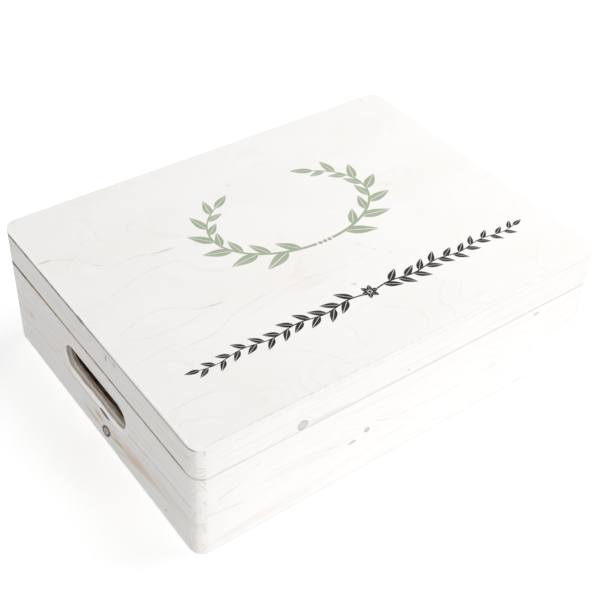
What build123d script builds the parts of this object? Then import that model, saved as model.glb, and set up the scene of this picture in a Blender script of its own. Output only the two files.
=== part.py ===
from build123d import *
from math import cos, radians, sin, tan
import os

# A finger-jointed pine keepsake box with a hinged, plywood-topped lid.
# The box stands on z = 0, centred on the origin. Its long front faces -Y, its hinges are at +Y
# and its hand slots are in the two short sides. Lengths are in millimetres, angles in degrees.

# Overall size
WIDTH = 400.0
DEPTH = 300.0
HEIGHT = 120.0
CORNER_R = 12.0  # rounding of the four upright corners

# Boards and panels
WALL = 8.5  # solid pine boards
PLY = 4.0  # top and floor panels
FINGER = 12.3  # height of one finger of the corner joints
BODY_FINGERS = 7
EASE = 0.6  # chamfer along the seam and the foot
TOP_EASE = 1.0  # rounding of the lid's top arris
REBATE = 4.5  # width of the step that the floor panel sits in
LIP = WALL - REBATE  # wood left outside that step
SEAM_Z = BODY_FINGERS * FINGER  # where the lid meets the box
RAIL_TOP = HEIGHT - PLY  # where the lid's rails end and its top panel starts

# Hand slots
SLOT_LENGTH = 96.0
SLOT_HEIGHT = 24.0
SLOT_Z = 55.5
SLOT_EASE = 1.2  # rounding of the slots' edges

# Hinges: each leaf lies on a bevel cut along the back of the seam, and the two bevels close up
# when the lid stands open
BEVEL = 50.5
BEVEL_DEPTH = 6.0  # how far the bevels reach in from the back
HINGE_X = 125.0
HINGE_LENGTH = 34.0
LEAF = 1.0  # leaf thickness
LEAF_REACH = 6.9  # from the hinge's axis to the leaf's long edge
LEAF_CORNER_R = 1.0
KNUCKLE_R = 2.0
MIDDLE_KNUCKLE = 13.8  # length of the lid leaf's one knuckle
KNUCKLE_GAP = 0.2  # between knuckles, along the pin
PIN_R = 1.0
PIN_PLAY = 0.05  # radial clearance of the pin in the lid's knuckle
PIN_END = 0.3  # how far the pin stands out of the outer knuckles
ROOM = 0.25  # clearance round the knuckles
AXIS_Y = DEPTH / 2 - BEVEL_DEPTH + LEAF / sin(radians(BEVEL))

# Hinge screws
SCREW_R = 0.8
SCREW_HEAD_R = 1.6
SCREW_LENGTH = 7.4
SCREW_SINK = 0.05  # how far the head sits below the leaf's face
SCREW_SPACING = 21.0
SCREW_REACH = 4.6  # from the hinge's axis
SCREW_SLOT = 0.4  # width and depth of the driver slot
SCREW_TURN = 35.0  # how far the driver slots are turned from the leaf's length

# Brads that hold the floor panel
BRAD_R = 0.6
BRAD_HEAD_R = 1.2
BRAD_HEAD = 0.6
BRAD_LENGTH = 14.0
BRAD_SPACING_X = 130.0
BRAD_SPACING_Y = 100.0

BODY = -1  # the side of the seam below the hinge's axis
LID = 1  # the side above it


# ---- Outer forms that the boards are cut to ----

def rounded_block(bottom, top):
    """The box's outline between two heights, with its long arrises eased."""
    with BuildPart() as block:
        with BuildSketch(Plane.XY.offset(bottom)):
            RectangleRounded(WIDTH, DEPTH, CORNER_R)
        extrude(amount=top - bottom)
        chamfer(block.faces().sort_by(Axis.Z)[0].edges(), EASE)
    return block


def back_groove():
    """The V along the back of the seam, with a pocket for each hinge's knuckles."""
    rise = (BEVEL_DEPTH + EASE) * tan(radians(BEVEL))
    with BuildPart() as groove:
        with BuildSketch(Plane.YZ):
            with BuildLine():
                Polyline(
                    (DEPTH / 2 - BEVEL_DEPTH, SEAM_Z),
                    (DEPTH / 2 + EASE, SEAM_Z + rise),
                    (DEPTH / 2 + EASE, SEAM_Z - rise),
                    close=True,
                )
            make_face()
        extrude(amount=WIDTH / 2, both=True)
        for x in (-HINGE_X, HINGE_X):
            with BuildSketch(Plane.YZ.offset(x)):
                with Locations((AXIS_Y, SEAM_Z)):
                    Circle(KNUCKLE_R + ROOM)
            extrude(amount=HINGE_LENGTH / 2 + PIN_END + ROOM, both=True)
    return groove.part


groove = back_groove()

with BuildPart() as body_form:
    add(rounded_block(0, SEAM_Z).part)
    chamfer(body_form.faces().sort_by(Axis.Z)[-1].edges(), EASE)
    add(groove, mode=Mode.SUBTRACT)
    with BuildSketch():
        RectangleRounded(WIDTH - 2 * LIP, DEPTH - 2 * LIP, CORNER_R - LIP)
    extrude(amount=PLY, mode=Mode.SUBTRACT)

with BuildPart() as lid_form:
    add(rounded_block(SEAM_Z, HEIGHT).part)
    fillet(lid_form.faces().sort_by(Axis.Z)[-1].edges(), TOP_EASE)
    add(groove, mode=Mode.SUBTRACT)


# ---- Boards ----

def corner_board(form, centre, length, across, base, fingers):
    """A board cut to the outer form, with the fingers that run through its two neighbours.

    length and across are its full size along X and Y. It stops short of the neighbours, except
    where fingers says True; each finger is (height, runs through).
    """
    along_x = length > across
    inset = (2 * WALL, 0) if along_x else (0, 2 * WALL)
    with BuildPart() as board:
        level = base
        for height, runs_through in fingers:
            cut = (0, 0) if runs_through else inset
            with BuildSketch(Plane.XY.offset(level)):
                with Locations(centre):
                    Rectangle(length - cut[0], across - cut[1])
            extrude(amount=height)
            level += height
        add(form.part, mode=Mode.INTERSECT)
    return board.part


def finger_row(heights, first_runs_through):
    """Alternate fingers and gaps, from the lowest up."""
    return [(height, (i % 2 == 0) == first_runs_through) for i, height in enumerate(heights)]


body_heights = [FINGER] * BODY_FINGERS
lid_heights = [FINGER, FINGER, RAIL_TOP - SEAM_Z - 2 * FINGER]
long_y = (DEPTH - WALL) / 2
side_x = (WIDTH - WALL) / 2


def long_board(form, side, base, heights):
    """A front (side -1) or back (side 1) board or rail."""
    centre = (0, side * long_y)
    return corner_board(form, centre, WIDTH, WALL, base, finger_row(heights, False))


def short_board(form, side, base, heights):
    """A left (side -1) or right (side 1) board or rail."""
    centre = (side * side_x, 0)
    return corner_board(form, centre, WALL, DEPTH, base, finger_row(heights, True))


# ---- Fastenings ----

def leaf_plane(x, side):
    """On a hinge's axis, facing out of one bevel, with its y running down the bevel's slope."""
    slope = radians(BEVEL)
    facing = (0, sin(slope), -side * cos(slope))
    return Plane(origin=(x, AXIS_Y, SEAM_Z), x_dir=(-side, 0, 0), z_dir=facing)


def screw_planes(x, side):
    """Where one leaf's two screws enter, on the leaf's open face."""
    plane = leaf_plane(x, side)
    places = [(-SCREW_SPACING / 2, SCREW_REACH), (SCREW_SPACING / 2, SCREW_REACH)]
    return [Plane(plane.from_local_coords((*p, 0)), plane.x_dir, plane.z_dir) for p in places]


def board_screw_planes(side):
    """Where all the screws enter the back board or the lid's back rail."""
    return [plane for x in (-HINGE_X, HINGE_X) for plane in screw_planes(x, side)]


def leaf_screws(x, side):
    """The two countersunk, slotted screws of one leaf."""
    neck = SCREW_SINK + SCREW_HEAD_R - SCREW_R
    tip = 2 * SCREW_R
    with BuildPart() as screws:
        for plane in screw_planes(x, side):
            with BuildSketch(Plane(plane.origin, plane.x_dir, -plane.y_dir)):
                with BuildLine():
                    Polyline(
                        (0, -SCREW_SINK),
                        (SCREW_HEAD_R, -SCREW_SINK),
                        (SCREW_R, -neck),
                        (SCREW_R, tip - SCREW_LENGTH),
                        (0, -SCREW_LENGTH),
                        close=True,
                    )
                make_face()
            revolve(axis=Axis(plane.origin, plane.z_dir))
            with BuildSketch(plane):
                Rectangle(3 * SCREW_HEAD_R, SCREW_SLOT, rotation=SCREW_TURN * side)
            extrude(amount=-(SCREW_SINK + SCREW_SLOT), mode=Mode.SUBTRACT)
    return screws


def knuckle_spans(side):
    """The stretches along the pin that belong to one leaf, from the hinge's middle."""
    middle = MIDDLE_KNUCKLE / 2
    if side == LID:
        return [(-middle, middle)]
    inner = middle + KNUCKLE_GAP
    return [(-HINGE_LENGTH / 2, -inner), (inner, HINGE_LENGTH / 2)]


def hinge_leaf(x, side):
    """A hinge leaf: its plate on the bevel, its knuckles round the pin, and its screw holes."""
    plane = leaf_plane(x, side)
    clear = KNUCKLE_R + ROOM
    bore = PIN_R + PIN_PLAY if side == LID else PIN_R
    with BuildPart() as leaf:
        with BuildSketch(plane.offset(-LEAF)) as plate:
            with Locations((0, (clear + LEAF_REACH) / 2)):
                Rectangle(HINGE_LENGTH, LEAF_REACH - clear)
            fillet(plate.vertices().sort_by(Axis.Y)[-2:], LEAF_CORNER_R)
        extrude(amount=LEAF)
        for start, end in knuckle_spans(side):
            with BuildSketch(plane.offset(-LEAF)):
                with Locations((-side * (start + end) / 2, clear / 2)):
                    Rectangle(end - start, clear)
            extrude(amount=LEAF)
            with BuildSketch(Plane.YZ.offset(x + start)):
                with Locations((AXIS_Y, SEAM_Z)):
                    Circle(KNUCKLE_R)
            extrude(amount=end - start)
        with BuildSketch(Plane.YZ.offset(x)):
            with Locations((AXIS_Y, SEAM_Z)):
                Circle(bore)
        extrude(amount=HINGE_LENGTH, both=True, mode=Mode.SUBTRACT)
        with Locations(*screw_planes(x, side)):
            CounterSinkHole(SCREW_R, SCREW_HEAD_R + SCREW_SINK, LEAF, 90)
    return leaf


def hinge_pin(x):
    """The pin, pressed into the body leaf's two knuckles, with rounded ends."""
    length = HINGE_LENGTH + 2 * PIN_END
    with BuildPart() as pin:
        with BuildSketch(Plane.YZ.offset(x - length / 2)):
            with Locations((AXIS_Y, SEAM_Z)):
                Circle(PIN_R)
        extrude(amount=length)
        fillet(pin.edges().filter_by(GeomType.CIRCLE), PIN_END)
    return pin


with BuildPart() as floor_brads:
    inner_x = WIDTH / 2 - WALL + REBATE / 2
    inner_y = DEPTH / 2 - WALL + REBATE / 2
    spots = [(i * BRAD_SPACING_X, j * inner_y) for i in (-1, 0, 1) for j in (-1, 1)]
    spots += [(i * inner_x, j * BRAD_SPACING_Y) for i in (-1, 1) for j in (-1, 0, 1)]
    with BuildSketch():
        with Locations(*spots):
            Circle(BRAD_HEAD_R)
    extrude(amount=BRAD_HEAD)
    with BuildSketch():
        with Locations(*spots):
            Circle(BRAD_R)
    extrude(amount=BRAD_LENGTH)


# ---- Box body ----

with BuildPart() as front_board:
    add(long_board(body_form, -1, 0, body_heights))
    add(floor_brads.part, mode=Mode.SUBTRACT)

with BuildPart() as back_board:
    add(long_board(body_form, 1, 0, body_heights))
    add(floor_brads.part, mode=Mode.SUBTRACT)
    with Locations(*board_screw_planes(BODY)):
        Hole(SCREW_R, SCREW_LENGTH)


def side_board(side):
    """A side board with its hand slot."""
    with BuildPart() as board:
        add(short_board(body_form, side, 0, body_heights))
        add(floor_brads.part, mode=Mode.SUBTRACT)
        with BuildSketch(Plane.YZ.offset(side * side_x)):
            with Locations((0, SLOT_Z)):
                SlotOverall(SLOT_LENGTH, SLOT_HEIGHT)
        extrude(amount=WALL, both=True, mode=Mode.SUBTRACT)
        reach = SLOT_LENGTH / 2
        rims = board.edges().filter_by(
            lambda e: abs(e.center().Y) <= reach and abs(e.center().Z - SLOT_Z) <= SLOT_HEIGHT / 2
        )
        fillet(rims.filter_by(Axis.X, reverse=True), SLOT_EASE)
    return board


left_board = side_board(-1)
right_board = side_board(1)

with BuildPart() as floor_panel:
    with BuildSketch():
        RectangleRounded(WIDTH - 2 * LIP, DEPTH - 2 * LIP, CORNER_R - LIP)
    extrude(amount=PLY)
    add(floor_brads.part, mode=Mode.SUBTRACT)

# ---- Lid ----

with BuildPart() as lid_front_rail:
    add(long_board(lid_form, -1, SEAM_Z, lid_heights))

with BuildPart() as lid_back_rail:
    add(long_board(lid_form, 1, SEAM_Z, lid_heights))
    with Locations(*board_screw_planes(LID)):
        Hole(SCREW_R, SCREW_LENGTH)

with BuildPart() as lid_left_rail:
    add(short_board(lid_form, -1, SEAM_Z, lid_heights))

with BuildPart() as lid_right_rail:
    add(short_board(lid_form, 1, SEAM_Z, lid_heights))

with BuildPart() as lid_top_panel:
    with BuildSketch(Plane.XY.offset(RAIL_TOP)):
        Rectangle(WIDTH, DEPTH)
    extrude(amount=PLY)
    add(lid_form.part, mode=Mode.INTERSECT)

# ---- Export ----

pieces = {
    "front_board": front_board,
    "back_board": back_board,
    "left_board": left_board,
    "right_board": right_board,
    "floor_panel": floor_panel,
    "floor_brads": floor_brads,
    "lid_front_rail": lid_front_rail,
    "lid_back_rail": lid_back_rail,
    "lid_left_rail": lid_left_rail,
    "lid_right_rail": lid_right_rail,
    "lid_top_panel": lid_top_panel,
}
for hinge, x in (("left_hinge", -HINGE_X), ("right_hinge", HINGE_X)):
    pieces[f"{hinge}_body_leaf"] = hinge_leaf(x, BODY)
    pieces[f"{hinge}_lid_leaf"] = hinge_leaf(x, LID)
    pieces[f"{hinge}_pin"] = hinge_pin(x)
    pieces[f"{hinge}_body_screws"] = leaf_screws(x, BODY)
    pieces[f"{hinge}_lid_screws"] = leaf_screws(x, LID)

os.makedirs("parts", exist_ok=True)
for name, piece in pieces.items():
    piece.part.label = name
    export_step(piece.part, f"parts/{name}.step")
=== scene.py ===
from collections import namedtuple
from functools import partial
from math import cos, pi, radians, sin

import bmesh
import bpy
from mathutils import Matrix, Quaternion, Vector


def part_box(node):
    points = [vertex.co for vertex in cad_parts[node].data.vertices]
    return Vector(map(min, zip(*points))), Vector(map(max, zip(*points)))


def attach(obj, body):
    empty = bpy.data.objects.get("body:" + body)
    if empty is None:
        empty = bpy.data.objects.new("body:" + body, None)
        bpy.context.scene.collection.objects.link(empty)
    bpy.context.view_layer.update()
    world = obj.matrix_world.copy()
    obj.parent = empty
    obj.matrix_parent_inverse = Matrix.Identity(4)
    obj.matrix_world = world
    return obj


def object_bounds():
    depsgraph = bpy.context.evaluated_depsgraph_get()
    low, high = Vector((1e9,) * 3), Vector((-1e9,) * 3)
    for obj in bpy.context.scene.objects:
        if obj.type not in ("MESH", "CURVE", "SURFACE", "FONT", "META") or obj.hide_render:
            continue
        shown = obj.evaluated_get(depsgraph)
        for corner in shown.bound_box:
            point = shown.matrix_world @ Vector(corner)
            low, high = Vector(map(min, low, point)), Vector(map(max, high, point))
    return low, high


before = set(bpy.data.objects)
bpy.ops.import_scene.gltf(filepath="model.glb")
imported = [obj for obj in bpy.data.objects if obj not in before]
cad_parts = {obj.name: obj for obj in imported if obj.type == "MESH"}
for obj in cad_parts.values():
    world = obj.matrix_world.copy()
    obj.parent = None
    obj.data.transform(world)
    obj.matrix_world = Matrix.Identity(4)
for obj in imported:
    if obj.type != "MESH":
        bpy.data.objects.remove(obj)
cad_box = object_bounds()

# The keepsake box stands centred on the origin, its front towards -Y and its hinges at +Y.
# Places and sizes are in metres; the materials' patterns are worked out in millimetres.
MM = 0.001
HALF_WIDTH = cad_box[1].x / MM
HALF_DEPTH = cad_box[1].y / MM
TOP = cad_box[1].z / MM
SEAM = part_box("front_board")[1].z / MM  # height of the line between box and lid
RAIL_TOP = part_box("lid_top_panel")[0].z / MM
WALL = (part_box("front_board")[1].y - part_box("front_board")[0].y) / MM
FINGER = SEAM / 7  # height of a corner joint's finger: there are seven up to the seam
CORNER_R = 12.0  # of the box's upright corners
SLOT_HEIGHT = 55.5  # of the middle of the hand slots
SLOT_STRAIGHT = 36.0  # half length of a slot's straight edges
SLOT_R = 12.0  # of its round ends
FAR = 1000.0  # so large that an axis drops out of a pattern


# ---- Adding nodes ----

def linear(hex_colour):
    """An sRGB hex colour as linear RGBA."""
    channels = [int(hex_colour[i:i + 2], 16) / 255 for i in (1, 3, 5)]
    return [c / 12.92 if c <= 0.04045 else ((c + 0.055) / 1.055) ** 2.4 for c in channels] + [1.0]


def add_node(tree, kind, *values, out=0, **named):
    """Adds a node and gives one of its outputs, or the node itself for out=None.

    The values go to its inputs in order, and a name with a capital is an input too. Any other
    name is a setting. An input that is given another node's output is linked to it.
    """
    made = tree.nodes.new("ShaderNode" + kind)
    for name in filter(str.islower, named):
        setattr(made, name, named[name])
    inputs = [socket for socket in made.inputs if socket.enabled]
    fed = list(zip(inputs, values))
    fed += [(made.inputs[name.replace("_", " ")], named[name]) for name in named if not name.islower()]
    for socket, value in fed:
        if isinstance(value, bpy.types.NodeSocket):
            tree.links.new(value, socket)
        else:
            socket.default_value = value
    if out is None:
        return made
    return [socket for socket in made.outputs if socket.enabled][out]


EASED = {"interpolation_type": "SMOOTHSTEP"}  # a MapRange that eases in and out
RGBA = {"data_type": "RGBA"}  # a Mix of colours


def new_material(name):
    """An empty node material, with a function that adds nodes to it."""
    material = bpy.data.materials.new(name)
    material.use_nodes = True
    material.node_tree.nodes.clear()
    return material, partial(add_node, material.node_tree)


def finish_material(add, colour, roughness, height, depth, **constants):
    """Joins a colour, a roughness and a bump of a depth in millimetres to the surface shader."""
    bump = add("Bump", Distance=depth * MM, Height=height)
    shader = add("BsdfPrincipled", Base_Color=colour, Roughness=roughness, Normal=bump, **constants)
    add("OutputMaterial", shader, out=None)


# ---- Places and shapes that the patterns share ----

def place_in_mm(add):
    """The place on the box, in millimetres."""
    return add("VectorMath", add("TexCoord", out=3), 1 / MM, operation="SCALE")


def laid(add, place, size, seed):
    """A place for a noise of scale 1 whose lumps have a real size in millimetres."""
    return add("Mapping", place, (seed, seed, seed), (0, 0, 0), [1 / mm for mm in size])


def from_centre(add, place, centre, radii, tilt=0.0):
    """How far a point lies from an ellipse's centre: 1 on its outline, in the first two axes."""
    turned = add(
        "Mapping", place, (*centre, 0), (0, 0, radians(tilt)), (*radii, FAR), vector_type="TEXTURE"
    )
    return add("VectorMath", turned, operation="LENGTH")


def read_off(add, value, points):
    """What a smooth curve through points gives for a value.

    The node holds a curve from 0 to 1 both ways, so the points are scaled into that and back.
    """
    start, end = points[0][0], points[-1][0]
    lowest = min(height for _, height in points)
    spread = max(height for _, height in points) - lowest + 0.001  # never 0, for a level curve
    share = add("MapRange", value, start, end)
    curve = add("FloatCurve", Value=share, out=None)
    course = curve.mapping.curves[0].points
    course[0].location = (0, (points[0][1] - lowest) / spread)
    course[-1].location = (1, (points[-1][1] - lowest) / spread)
    for reached, height in points[1:-1]:
        course.new((reached - start) / (end - start), (height - lowest) / spread)
    curve.mapping.update()
    return add("MapRange", curve.outputs[0], 0, 1, lowest, lowest + spread)


def depth_inside(add, place):
    """How deep a point lies behind the box's rounded outline, in millimetres."""
    size = add("VectorMath", place, operation="ABSOLUTE")
    arc_centre = (HALF_WIDTH - CORNER_R, HALF_DEPTH - CORNER_R, FAR)
    past = add("VectorMath", size, arc_centre, operation="SUBTRACT")
    outward = add("VectorMath", past, (0, 0, 0), operation="MAXIMUM")
    reach = add("VectorMath", outward, operation="LENGTH")
    past_x, past_y, _ = add("SeparateXYZ", past, out=None).outputs
    inner = add("Math", past_x, past_y, operation="MAXIMUM")
    inner = add("Math", inner, 0.0, operation="MINIMUM")
    signed = add("Math", reach, inner, operation="ADD")
    return add("Math", CORNER_R, signed, operation="SUBTRACT")


# ---- Marks in the wood ----

# Places and sizes are in millimetres along and across the grain, and tilts in degrees. Across is
# the height on a board, and the place from front to back on the lid's top.
Line = namedtuple("Line", "strength width points steep", defaults=(False,))
# A ring knot has a pale heart
Knot = namedtuple("Knot", "along across half_length half_width tilt strength ring", defaults=(False,))
Stain = namedtuple("Stain", "along across half_length half_width tilt strength")

EARLY_PINE = linear("#E9D8BC")
LATE_PINE = linear("#B4946A")
RESIN_BROWN = linear("#B8925F")
KNOT_BROWN = linear("#6B4522")
KNOT_AND_SLOT_SHADE_DARK = linear("#22160E")  # also the painted shade at a slot's inner edge
KNOT_HEART = linear("#AC9F8E")
SLOT_WALL_AND_SHADE_BROWN = linear("#84612F")  # the bare wood of a slot's wall, and painted shade deeper in
SEAM_BROWN = linear("#92671F")
# Painted shade of an open gap between box and lid
SEAM_GAP_SHADE_BLACK = linear("#1A1714")
JOINT_LINE_BROWN = linear("#43341F")
LINE_BROWN = linear("#A5784A")  # mineral streaks in birch, and gaps between fingers
GRAIN_BROWN = linear("#85694E")  # pine grain, and veneer worn through its wash
WHITEWASH = linear("#F5F4F3")
# A painted highlight on eased edges: the lid top's left edge and the lip round a slot
PAINTED_HIGHLIGHT_WHITE = linear("#FFFEFC")
# The wash greyed by painted shade, for the left side
SHADED_WASH_GREY = linear("#DAD9D8")

# Sizes of the figure in millimetres: along the grain, then twice across it. Real fibre is twenty
# or more times finer, and is drawn this coarse because it wouldn't show otherwise.
PINE_FIBRE = (34, 1.1, 1.1)
PINE_STREAK = (140, 3.6, 3.6)
PINE_PATCH = (70, 26, 26)
VENEER_FIBRE = (16, 0.5, 1)
RING_WIDTH = 4.2  # between growth rings
BEND_DEPTH = 34.0  # how far the trunk's slow bends move its rings
WANDER_DEPTH = 7.0  # how far their small waves do
KNOT_PUSH = 9.0  # how far a knot pushes them aside

LINE_TAPER = 0.1  # the share of a line's length in which each of its ends fades


def traced(add, grain, line):
    """A fine line through a Line's points: its strength on it, 0 beside it and past its ends.

    A steep line runs across the grain rather than along it.
    """
    runs, strays = (1, 0) if line.steep else (0, 1)
    points = sorted((point[runs], point[strays]) for point in line.points)
    course_at = read_off(add, grain[runs], points)
    share = add("MapRange", grain[runs], points[0][0], points[-1][0])
    gap = add("Math", grain[strays], course_at, operation="SUBTRACT")
    gap = add("Math", gap, operation="ABSOLUTE")
    on_line = add("MapRange", gap, line.width, 0.25 * line.width, 0, line.strength, **EASED)
    from_end = add("Math", share, 0.5, operation="PINGPONG")
    tapered = add("MapRange", from_end, 0, LINE_TAPER, **EASED)
    return add("Math", on_line, tapered, operation="MULTIPLY")


def line_marks(add, place, lines, seed, waver):
    """All of a board's traced lines, broken along their length and wavering by some millimetres."""
    sway = add("TexNoise", laid(add, place, (5, 5, 5), seed), 1, 3, 0.65, out=1)
    sway = add("VectorMath", sway, (0.5, 0.5, 0.5), operation="SUBTRACT")
    swayed = add("VectorMath", sway, (waver, waver, waver), place, operation="MULTIPLY_ADD")
    grain = add("SeparateXYZ", swayed, out=None).outputs
    marks = 0.0
    for line in lines:
        marks = add("Math", traced(add, grain, line), marks, operation="ADD")
    breaks = add("TexNoise", laid(add, place, (7, 7, 7), seed + 1), 1, 3, 0.7)
    breaks = add("MapRange", breaks, 0.3, 0.62, 0.15, 1.05, **EASED)
    return add("Math", marks, breaks, operation="MULTIPLY")


def stained(add, colour, grain, stains, streak):
    """A colour with soft brown resin stains on it, streaked along the grain."""
    streaks = add("MapRange", streak, 0.38, 0.62, 0.35, 1.9, **EASED)
    for stain in stains:
        radii = (stain.half_length, stain.half_width)
        reach = from_centre(add, grain, (stain.along, stain.across), radii, stain.tilt)
        share = add("MapRange", reach, 1.0, 0.1, 0, stain.strength, **EASED)
        share = add("Math", share, streaks, operation="MULTIPLY")
        colour = add("Mix", share, colour, RESIN_BROWN, **RGBA)
    return colour


def knotted(add, colour, grain, knots, seed):
    """A colour with knots in it: each a dark uneven rim, and a brown or a pale heart."""
    uneven = add("TexNoise", laid(add, grain, (4, 3, 3), seed), 1, 2)
    uneven = add("MapRange", uneven, 0, 1, -0.4, 0.4)
    for knot in knots:
        radii = (knot.half_length, knot.half_width)
        reach = from_centre(add, grain, (knot.along, knot.across), radii, knot.tilt)
        reach = add("Math", reach, uneven, operation="ADD")
        body = add("MapRange", reach, 1.35, 1.0, 0, knot.strength, **EASED)
        rim = add("MapRange", reach, 0.6, 0.84, **EASED)
        rim_colour = KNOT_AND_SLOT_SHADE_DARK if knot.strength > 0.5 else KNOT_BROWN
        heart = add("MapRange", reach, 0.3, 0.1, **EASED)
        heart = add("Mix", heart, KNOT_HEART, KNOT_BROWN, **RGBA) if knot.ring else KNOT_BROWN
        colour = add("Mix", body, colour, add("Mix", rim, heart, rim_colour, **RGBA), **RGBA)
    return colour


def growth_rings(add, grain, pith, seed, knots):
    """Growth rings round a pith line that runs with the grain: 1 in late wood, 0 in early wood.

    grain is (along, across, through) the board, and pith the line's (across, through).
    """
    bend = add("TexNoise", laid(add, grain, (210, 60, 60), seed), 1, 1)
    wander = add("TexNoise", laid(add, grain, (70, 16, 16), seed + 3), 1, 1)
    from_pith = add(
        "VectorMath", grain, (0, 1, 1), (0, -pith[0], -pith[1]), operation="MULTIPLY_ADD"
    )
    radius = add("VectorMath", from_pith, operation="LENGTH")
    radius = add("Math", bend, BEND_DEPTH, radius, operation="MULTIPLY_ADD")
    radius = add("Math", wander, WANDER_DEPTH, radius, operation="MULTIPLY_ADD")
    for knot in knots:
        reach = 3.2 * max(knot.half_length, knot.half_width)
        push = from_centre(add, grain, (knot.along, knot.across), (2.6 * reach, reach))
        push = add("MapRange", push, 1, 0, 0, KNOT_PUSH, **EASED)
        radius = add("Math", radius, push, operation="ADD")
    ring = add("Math", radius, RING_WIDTH, operation="DIVIDE")
    ring = add("Math", ring, operation="FRACT")
    darkening = add("MapRange", ring, 0.45, 0.92, **EASED)
    edge = add("MapRange", ring, 1.0, 0.95, **EASED)
    return add("Math", darkening, edge, operation="MULTIPLY")


# Edges of the marks at the joints, in millimetres. A pair is where a mark ends, and where it is
# whole, measured from its middle.
SEAM_EDGE = (2.0, 1.3)
HAIRLINE_EDGE = (0.6, 0.15)
JOINT_LINE_BELOW = 0.4  # how far the dark line's middle lies below the panel
JOINT_LINE_REACH = (0.95, 1.35)  # how far it reaches from there, at its narrowest and widest
JOINT_LINE_SPOT = (13, RAIL_TOP)  # the place from front to back, and the height, of a spot where the line is wider


def seam_mark(add, place, seed, strength):
    """The line between box and lid: uneven, faint at the front, and wider and darker towards the back,
    where it is painted shade of an open gap.

    strength is how dark it is in the middle of the box's depth, and at the back.
    """
    _, y, z = add("SeparateXYZ", place, out=None).outputs
    gap = add("Math", z, SEAM, operation="SUBTRACT")
    gap = add("Math", gap, operation="ABSOLUTE")
    waver = add("TexNoise", laid(add, place, (12, 12, 3), seed), 1, 2)
    gap = add("Math", waver, 0.8, gap, operation="MULTIPLY_ADD")
    widening = add("MapRange", y, 20, 120, 0, 0.35, **EASED)
    gap = add("Math", gap, widening, operation="SUBTRACT")
    near = add("MapRange", gap, *SEAM_EDGE, **EASED)
    uneven = add("TexNoise", laid(add, place, (14, 14, 30), seed + 1), 1, 3, 0.6)
    uneven = add("MapRange", uneven, 0.3, 0.7, 0.65, 1.15)
    near = add("Math", near, uneven, operation="MULTIPLY")
    along = add("MapRange", y, 10, 120, *strength, **EASED)
    fade = add("MapRange", y, 6 - HALF_DEPTH, 22 - HALF_DEPTH, 0.3, 1.0, **EASED)
    along = add("Math", along, fade, operation="MULTIPLY")
    return add("Math", near, along, operation="MULTIPLY")


def panel_joint_line(add, place):
    """A dark brown line at the left, where the panel lies on its rail: fainter towards the front."""
    x, y, z = add("SeparateXYZ", place, out=None).outputs
    gap = add("Math", z, RAIL_TOP - JOINT_LINE_BELOW, operation="SUBTRACT")
    gap = add("Math", gap, operation="ABSOLUTE")
    run = add("TexNoise", laid(add, place, (12, 12, 12), 53), 1, 2)
    drop = from_centre(add, add("CombineXYZ", y, z, 0), JOINT_LINE_SPOT, (7, 3.4))
    drop = add("MapRange", drop, 1.1, 0.5, 0, 1.0, **EASED)
    reach = add("MapRange", run, 0.3, 0.7, *JOINT_LINE_REACH)
    reach = add("Math", reach, drop, operation="ADD")
    over = add("Math", reach, gap, operation="SUBTRACT")
    near = add("MapRange", over, -0.2, 0.4, **EASED)
    at_left = add("MapRange", x, 4 - HALF_WIDTH, 1 - HALF_WIDTH, **EASED)
    to_back = add("MapRange", y, -60, 60, 0.55, 1.0, **EASED)
    along = add("Math", at_left, to_back, operation="MULTIPLY")
    return add("Math", near, along, operation="MULTIPLY")


def finger_hairlines(add, place, length, half_length, seed):
    """Broken hairlines where the fingers of two boards meet near a board's ends."""
    shoulder_at = half_length - WALL
    z = add("SeparateXYZ", place, out=2)
    from_finger = add("Math", z, FINGER / 2, operation="PINGPONG")
    between_fingers = add("MapRange", from_finger, *HAIRLINE_EDGE, **EASED)
    at_end = add("MapRange", length, shoulder_at - 0.4, shoulder_at)
    fingers = add("Math", between_fingers, at_end, operation="MULTIPLY")
    from_shoulder = add("Math", length, shoulder_at, operation="SUBTRACT")
    from_shoulder = add("Math", from_shoulder, operation="ABSOLUTE")
    shoulder = add("MapRange", from_shoulder, *HAIRLINE_EDGE, 0, 0.5, **EASED)
    broken = add("TexNoise", laid(add, place, (5, 5, 5), seed), 1, 1)
    broken = add("MapRange", broken, 0.35, 0.7, **EASED)
    joint = add("Math", fingers, shoulder, operation="MAXIMUM")
    return add("Math", joint, broken, operation="MULTIPLY")


# ---- Materials ----

# Edges of the finish, in millimetres. A pair is again where it ends, and where it is whole.
WASH_ENDS = (2.6, 0.7)  # behind the outer faces
WALL_EDGE = (2.5, 1.5)  # of a slot's brown wall, outside the slot's outline
LIP_EDGE = (4.4, 3.0)  # of the painted highlight round a slot, outside its outline
SLOT_SHADE_DEPTH = (6.0, 7.8)  # of the near-black painted shade on a slot's wall, behind the outer face
ARRIS_AT = 0.7  # the middle of the worn line on the lid's front edge, behind its front
ARRIS_EDGE = (0.9, 0.4)  # half the width of that line, and the width of the painted highlight at the left
# How strongly painted shade greys the wash on the left side, by the distance from it
PAINTED_SHADE_AT_LEFT = [(2.4, 1.0), (5.0, 0.42), (10.0, 0.14), (24.0, 0.06), (50.0, 0.0)]
# How brown a slot's wall is, by the depth behind the outer face: in bands near the face, then browner
# further in, which is painted shade
SLOT_WALL_AND_SHADE = [(0.2, 0.0), (1.0, 0.66), (2.0, 0.36), (3.4, 0.2), (4.7, 0.8), (7.0, 0.92), (8.2, 1.0)]


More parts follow.
